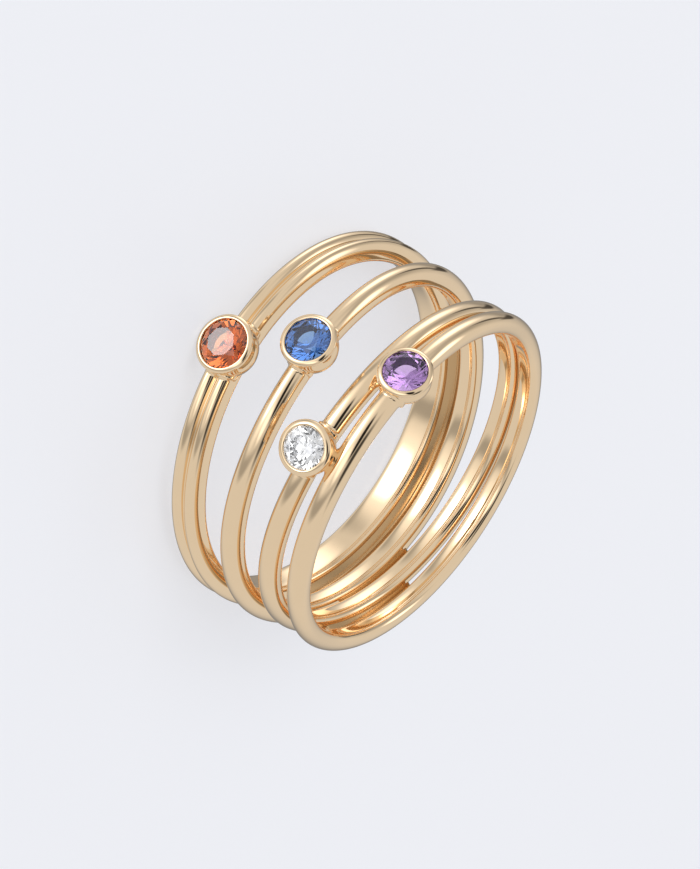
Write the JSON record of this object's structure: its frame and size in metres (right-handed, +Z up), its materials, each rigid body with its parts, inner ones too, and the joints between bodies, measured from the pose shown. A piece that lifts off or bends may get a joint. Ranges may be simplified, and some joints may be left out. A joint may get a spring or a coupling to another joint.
{
  "type": "finger ring",
  "caption": "Gold finger ring of round wire bands, fanned apart at the front and joined at the palm, each carrying a round bezel-set stone in its own colour.",
  "frame": {"origin": "bottom centre of the bounding box, on the floor that the ring lies on", "axes": "+Z up from the floor and close to the finger's axis, from the double band towards the violet stone's band; -Y towards the stones; +X towards the clear stone's side"},
  "size_m": [0.0198, 0.0212, 0.0111],
  "materials": {
    "polished_gold": "polished light yellow gold",
    "orange_gem": "faceted orange sapphire",
    "blue_gem": "faceted blue sapphire",
    "clear_gem": "faceted colourless stone",
    "violet_gem": "faceted violet amethyst"
  },
  "bodies": {
    "root": {"gold_ring": "polished_gold", "orange_stone": "orange_gem", "blue_stone": "blue_gem", "clear_stone": "clear_gem", "violet_stone": "violet_gem"}
  },
  "joints": []
}
